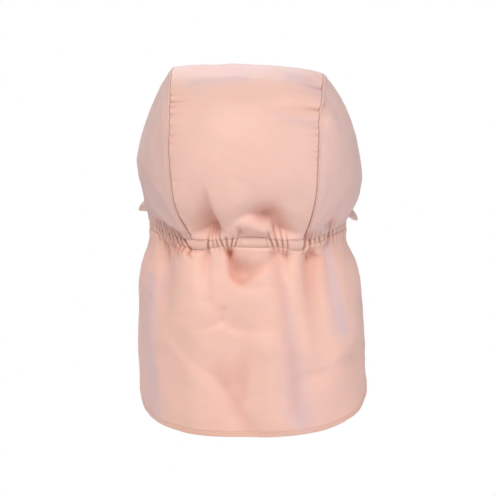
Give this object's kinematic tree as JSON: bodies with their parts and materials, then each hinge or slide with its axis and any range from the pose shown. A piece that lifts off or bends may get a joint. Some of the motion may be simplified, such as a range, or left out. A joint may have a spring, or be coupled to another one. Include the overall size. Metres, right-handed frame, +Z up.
{
  "type": "legionnaire cap",
  "caption": "Soft panelled child's sun cap with a short peak, a gathered elastic back band and a long neck flap with rounded lower corners.",
  "frame": {"origin": "centre of the head opening, level with the rim above the ears", "axes": "+Z up through the crown, the peak points along -Y, the neck flap hangs at +Y, and +X is the wearer's left"},
  "size_m": [0.1716, 0.2524, 0.2648],
  "materials": {
    "centre_cloth": "smooth woven polyester, pale peach pink, with a soft sheen",
    "side_cloth": "smooth woven polyester, peach pink, turned to a cooler side light",
    "band_cloth": "the same cloth, gathered over elastic",
    "peak_cloth": "the same cloth over a soft stiffening",
    "flap_cloth": "smooth woven polyester, peach pink",
    "hem_cloth": "the same cloth, doubled, a little more orange"
  },
  "bodies": {
    "root": {"crown_centre_panel": "centre_cloth", "crown_left_panel": "side_cloth", "crown_right_panel": "side_cloth", "elastic_band": "band_cloth", "peak": "peak_cloth", "neck_flap": "flap_cloth", "flap_hem": "hem_cloth"}
  },
  "joints": []
}
